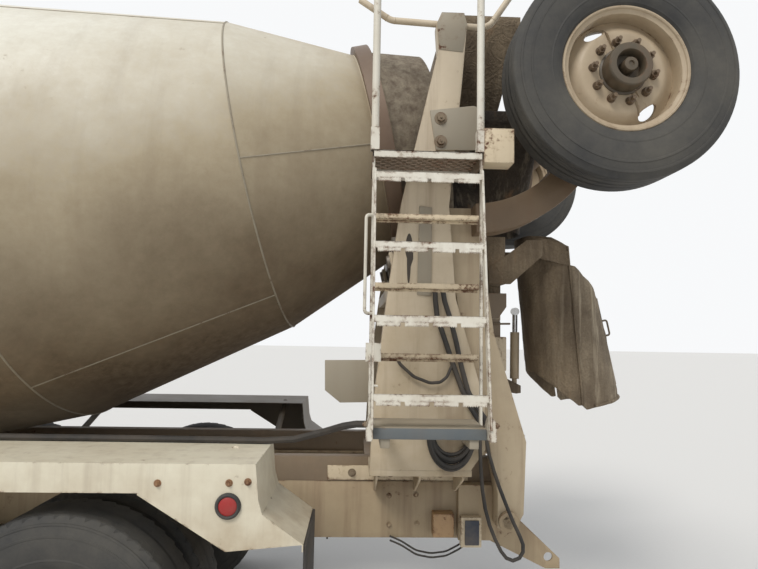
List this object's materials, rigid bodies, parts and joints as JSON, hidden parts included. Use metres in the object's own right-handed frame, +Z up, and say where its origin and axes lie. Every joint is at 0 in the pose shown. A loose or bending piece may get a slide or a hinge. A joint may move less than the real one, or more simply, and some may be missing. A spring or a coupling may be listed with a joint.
{
  "type": "rear discharge concrete mixer truck with trailing booster axle",
  "caption": "Conventional cab truck chassis that carries a tilted rotating mixing drum, with hoppers, folding chutes, a ladder and a raised trailing booster axle.",
  "frame": {"origin": "on the ground, at the middle of the bounding box", "axes": "+X to the front of the truck, +Y to its left, +Z up"},
  "size_m": [10.2998, 2.66, 3.707],
  "materials": {
    "frame_paint": "dusty tan paint",
    "drum_paint": "off-white paint with dust",
    "cab_paint": "off-white paint",
    "ring_steel": "rusted steel",
    "pedestal_paint": "dusty tan paint",
    "cement_steel": "steel coated with dried cement",
    "ladder_paint": "chipped white paint",
    "beam_paint": "worn brown paint",
    "chassis_black": "dusty black paint",
    "bare_steel": "worn steel",
    "rod_chrome": "polished rod",
    "tank_metal": "dull aluminium",
    "rim_paint": "dusty cream paint",
    "tyre": "matt rubber",
    "rubber": "matt rubber",
    "glass": "clear",
    "lamp_red": "red lens",
    "lamp_clear": "clear lens",
    "trim_dark": "dark plastic",
    "seat_cloth": "dark cloth"
  },
  "bodies": {
    "chassis": {"frame_rails": "frame_paint", "subframe": "frame_paint", "front_bumper": "bare_steel", "engine_block": "chassis_black", "front_axle": "chassis_black", "drive_axles": "chassis_black", "side_tanks": "tank_metal", "exhaust_stack": "bare_steel", "cab_shell": "cab_paint", "cab_glass": "glass", "seats": "seat_cloth", "dashboard": "trim_dark", "rear_fenders": "frame_paint", "tail_lamps": "lamp_red", "mud_flaps": "rubber", "front_pedestal": "pedestal_paint", "water_tank": "cab_paint", "rear_pedestal": "pedestal_paint", "drum_rollers": "bare_steel", "charge_hopper": "cement_steel", "discharge_collector": "cement_steel", "fixed_ladder": "ladder_paint", "hose_bundle": "rubber"},
    "hood": {"hood": "cab_paint", "grille": "bare_steel", "headlamps": "lamp_clear"},
    "door_left": {"door_left": "cab_paint", "door_left_glass": "glass"},
    "door_right": {"door_right": "cab_paint", "door_right_glass": "glass"},
    "knuckle_left": {"knuckle_left": "chassis_black"},
    "knuckle_right": {"knuckle_right": "chassis_black"},
    "steer_wheel_left": {"steer_tyre_left": "tyre", "steer_rim_left": "rim_paint"},
    "steer_wheel_right": {"steer_tyre_right": "tyre", "steer_rim_right": "rim_paint"},
    "drive_wheels_front_left": {"drive_tyres_front_left": "tyre", "drive_rims_front_left": "rim_paint"},
    "drive_wheels_front_right": {"drive_tyres_front_right": "tyre", "drive_rims_front_right": "rim_paint"},
    "drive_wheels_rear_left": {"drive_tyres_rear_left": "tyre", "drive_rims_rear_left": "rim_paint"},
    "drive_wheels_rear_right": {"drive_tyres_rear_right": "tyre", "drive_rims_rear_right": "rim_paint"},
    "booster": {"booster_arms": "beam_paint"},
    "booster_cylinder_barrels": {"booster_barrels": "chassis_black"},
    "booster_cylinder_rods": {"booster_rods": "rod_chrome"},
    "booster_wheel_left": {"booster_tyre_left": "tyre", "booster_rim_left": "rim_paint"},
    "booster_wheel_right": {"booster_tyre_right": "tyre", "booster_rim_right": "rim_paint"},
    "drum": {"drum_shell": "drum_paint", "drum_ring": "ring_steel"},
    "chute_post": {"chute_swivel": "cement_steel"},
    "chute": {"main_chute": "cement_steel"},
    "chute_extension": {"fold_chute": "cement_steel"},
    "chute_barrel": {"chute_cylinder_barrel": "chassis_black"},
    "chute_rod": {"chute_cylinder_rod": "rod_chrome"},
    "ladder": {"fold_ladder": "ladder_paint"}
  },
  "joints": [
    {"name": "drum_spin", "type": "hinge", "parent": "chassis", "child": "drum", "pos_m": [-3.41, 0, 2.886], "axis": [0.9769, 0, -0.2135], "continuous": true},
    {"name": "hood_tilt", "type": "hinge", "parent": "chassis", "child": "hood", "pos_m": [4.96, 0, 0.8], "axis": [0, 1, 0], "range_deg": [0, 70]},
    {"name": "door_left_swing", "type": "hinge", "parent": "chassis", "child": "door_left", "pos_m": [3.424, 1.014, 1.6], "axis": [0, 0, -1], "range_deg": [0, 65]},
    {"name": "door_right_swing", "type": "hinge", "parent": "chassis", "child": "door_right", "pos_m": [3.424, -1.014, 1.6], "axis": [0, 0, 1], "range_deg": [0, 65]},
    {"name": "steer_left", "type": "hinge", "parent": "chassis", "child": "knuckle_left", "pos_m": [3.95, 0.865, 0.53], "axis": [0, 0, 1], "range_deg": [-32, 32]},
    {"name": "steer_right", "type": "hinge", "parent": "chassis", "child": "knuckle_right", "pos_m": [3.95, -0.865, 0.53], "axis": [0, 0, 1], "range_deg": [-32, 32]},
    {"name": "steer_wheel_left_spin", "type": "hinge", "parent": "knuckle_left", "child": "steer_wheel_left", "pos_m": [3.95, 1.035, 0.53], "axis": [0, 1, 0], "continuous": true},
    {"name": "steer_wheel_right_spin", "type": "hinge", "parent": "knuckle_right", "child": "steer_wheel_right", "pos_m": [3.95, -1.035, 0.53], "axis": [0, 1, 0], "continuous": true},
    {"name": "drive_front_left_spin", "type": "hinge", "parent": "chassis", "child": "drive_wheels_front_left", "pos_m": [-0.84, 0.88, 0.53], "axis": [0, 1, 0], "continuous": true},
    {"name": "drive_front_right_spin", "type": "hinge", "parent": "chassis", "child": "drive_wheels_front_right", "pos_m": [-0.84, -0.88, 0.53], "axis": [0, 1, 0], "continuous": true},
    {"name": "drive_rear_left_spin", "type": "hinge", "parent": "chassis", "child": "drive_wheels_rear_left", "pos_m": [-2.21, 0.88, 0.53], "axis": [0, 1, 0], "continuous": true},
    {"name": "drive_rear_right_spin", "type": "hinge", "parent": "chassis", "child": "drive_wheels_rear_right", "pos_m": [-2.21, -0.88, 0.53], "axis": [0, 1, 0], "continuous": true},
    {"name": "booster_swing", "type": "hinge", "parent": "chassis", "child": "booster", "pos_m": [-4.194, 0, 0.868], "axis": [0, -1, 0], "range_deg": [0, 87]},
    {"name": "booster_barrel_turn", "type": "hinge", "parent": "chassis", "child": "booster_cylinder_barrels", "pos_m": [-3.62, 0, 1.48], "axis": [0, -1, 0], "range_deg": [-1, 14.6]},
    {"name": "booster_rod_slide", "type": "slide", "parent": "booster_cylinder_barrels", "child": "booster_cylinder_rods", "axis": [-0.9216, 0, -0.3881], "range_m": [-0.005, 0.452]},
    {"name": "booster_wheel_left_spin", "type": "hinge", "parent": "booster", "child": "booster_wheel_left", "pos_m": [-4.62, 0.99, 3.049], "axis": [0, 1, 0], "continuous": true},
    {"name": "booster_wheel_right_spin", "type": "hinge", "parent": "booster", "child": "booster_wheel_right", "pos_m": [-4.62, -0.99, 3.049], "axis": [0, 1, 0], "continuous": true},
    {"name": "chute_swivel_turn", "type": "hinge", "parent": "chassis", "child": "chute_post", "pos_m": [-4.23, 0, 1.9], "axis": [0, 0, 1], "range_deg": [-50, 50]},
    {"name": "chute_lift", "type": "hinge", "parent": "chute_post", "child": "chute", "pos_m": [-4.455, 0, 2.33], "axis": [0, 1, 0], "range_deg": [0, 55]},
    {"name": "chute_unfold", "type": "hinge", "parent": "chute", "child": "chute_extension", "pos_m": [-4.737, 0, 1.4], "axis": [0, -1, 0], "range_deg": [0, 170]},
    {"name": "chute_barrel_turn", "type": "hinge", "parent": "chute_post", "child": "chute_barrel", "pos_m": [-4.395, 0, 1.48], "axis": [0, -1, 0], "range_deg": [-1, 30.6]},
    {"name": "chute_rod_slide", "type": "slide", "parent": "chute_barrel", "child": "chute_rod", "axis": [-0.0104, 0, 0.9999], "range_m": [-0.005, 0.209]},
    {"name": "ladder_fold", "type": "hinge", "parent": "chassis", "child": "ladder", "pos_m": [-3.7, 1.235, 1.445], "axis": [-1, 0, 0], "range_deg": [0, 175]}
  ],
  "couplings": [
    {"joint": "steer_right", "follows": "steer_left", "ratio": 1},
    {"joint": "booster_barrel_turn", "follows": "booster_swing", "ratio": 0.14433},
    {"joint": "booster_rod_slide", "follows": "booster_swing", "m_per_rad": 0.29077},
    {"joint": "chute_barrel_turn", "follows": "chute_lift", "ratio": 0.52043},
    {"joint": "chute_rod_slide", "follows": "chute_lift", "m_per_rad": 0.20743}
  ]
}
